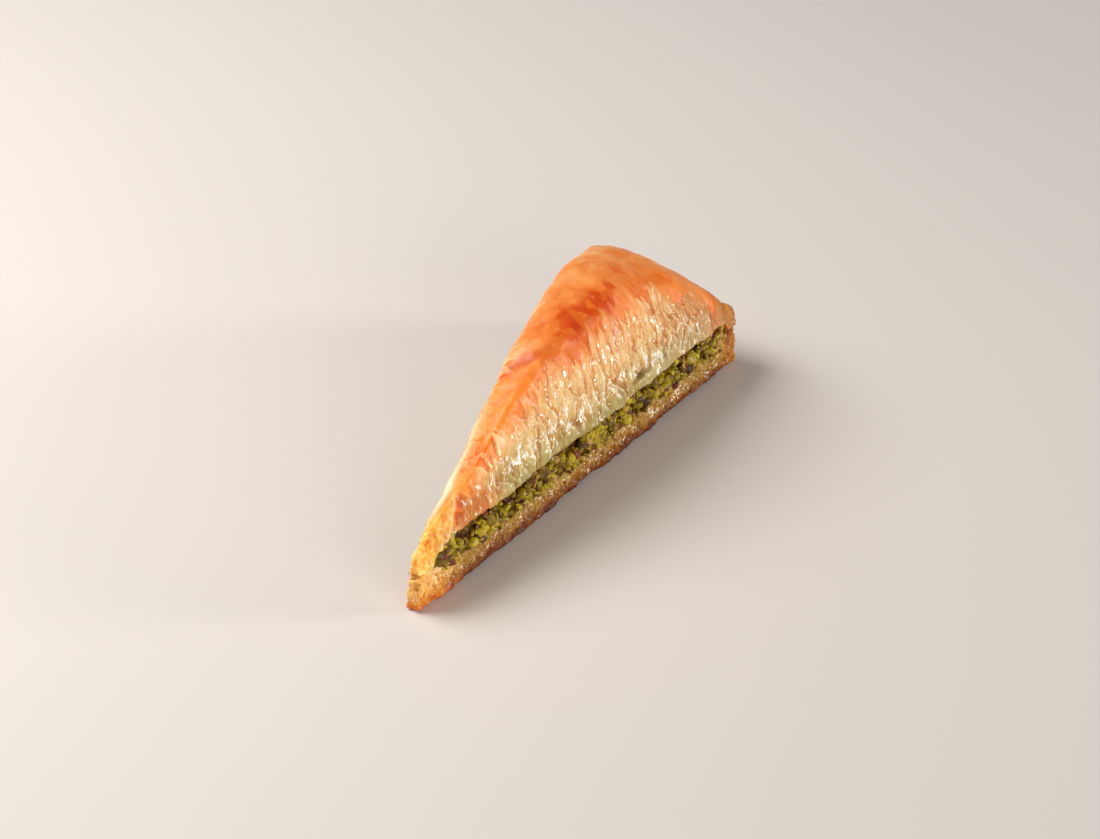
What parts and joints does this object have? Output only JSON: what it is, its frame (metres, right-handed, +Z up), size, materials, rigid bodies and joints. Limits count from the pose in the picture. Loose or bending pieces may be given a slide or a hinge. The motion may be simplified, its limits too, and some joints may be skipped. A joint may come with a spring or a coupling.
{
  "type": "baklava slice",
  "caption": "Long wedge of pistachio baklava: a flat lower stack of pastry sheets with a turned-up outer end, a chopped nut filling, and a domed upper stack with a glazed top.",
  "frame": {"origin": "bottom centre of the bounding box, on the surface that the slice rests on", "axes": "+X along the slice from its tip to its crust, +Z up; the cut face that the picture shows is on the -Y side"},
  "size_m": [0.172, 0.051, 0.0548],
  "materials": {
    "baked_base": "syrup-soaked pastry sheets, glossy, caramelised at the foot",
    "pistachio": "coarsely chopped pistachios, moist with syrup",
    "glazed_top": "thin flaky pastry sheets, glossy orange glaze on top and cream on the cut"
  },
  "bodies": {
    "root": {"bottom_pastry": "baked_base", "pistachio_filling": "pistachio", "top_pastry": "glazed_top"}
  },
  "joints": []
}
